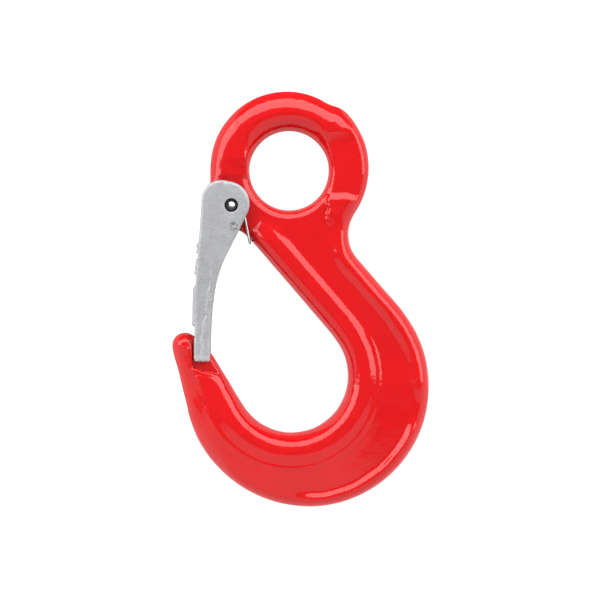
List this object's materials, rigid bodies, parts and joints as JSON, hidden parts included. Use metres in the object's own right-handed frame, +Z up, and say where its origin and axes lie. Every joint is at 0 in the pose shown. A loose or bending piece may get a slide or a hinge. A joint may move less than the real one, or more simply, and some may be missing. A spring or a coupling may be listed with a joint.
{
  "type": "eye hook with latch",
  "caption": "Forged eye sling hook with a deep bowl and a sprung swing-in safety latch that closes the throat on a hollow pin.",
  "frame": {"origin": "centre of the eye's hole, in the forging's parting plane", "axes": "+Z up as the hook hangs, +X from the latch side to the back of the bowl, Y across the thickness (front face looks to -Y)"},
  "size_m": [0.1097, 0.0224, 0.1777],
  "materials": {
    "red_paint": "glossy red enamel over a forged surface",
    "zinc_casting": "satin grey zinc plate over an as-cast surface",
    "black_steel": "black oxide",
    "spring_steel": "bright drawn wire"
  },
  "bodies": {
    "hook": {"hook_body": "red_paint", "latch_pin": "black_steel", "latch_spring": "spring_steel"},
    "latch": {"latch": "zinc_casting"}
  },
  "joints": [
    {"name": "latch_pivot", "type": "hinge", "parent": "hook", "child": "latch", "pos_m": [-0.0243, 0, -0.0141], "axis": [0, -1, 0], "range_deg": [0, 45], "stiffness_Nm_per_rad": 0.12, "springref_deg": -51.57, "deforming": ["latch_spring"]}
  ]
}
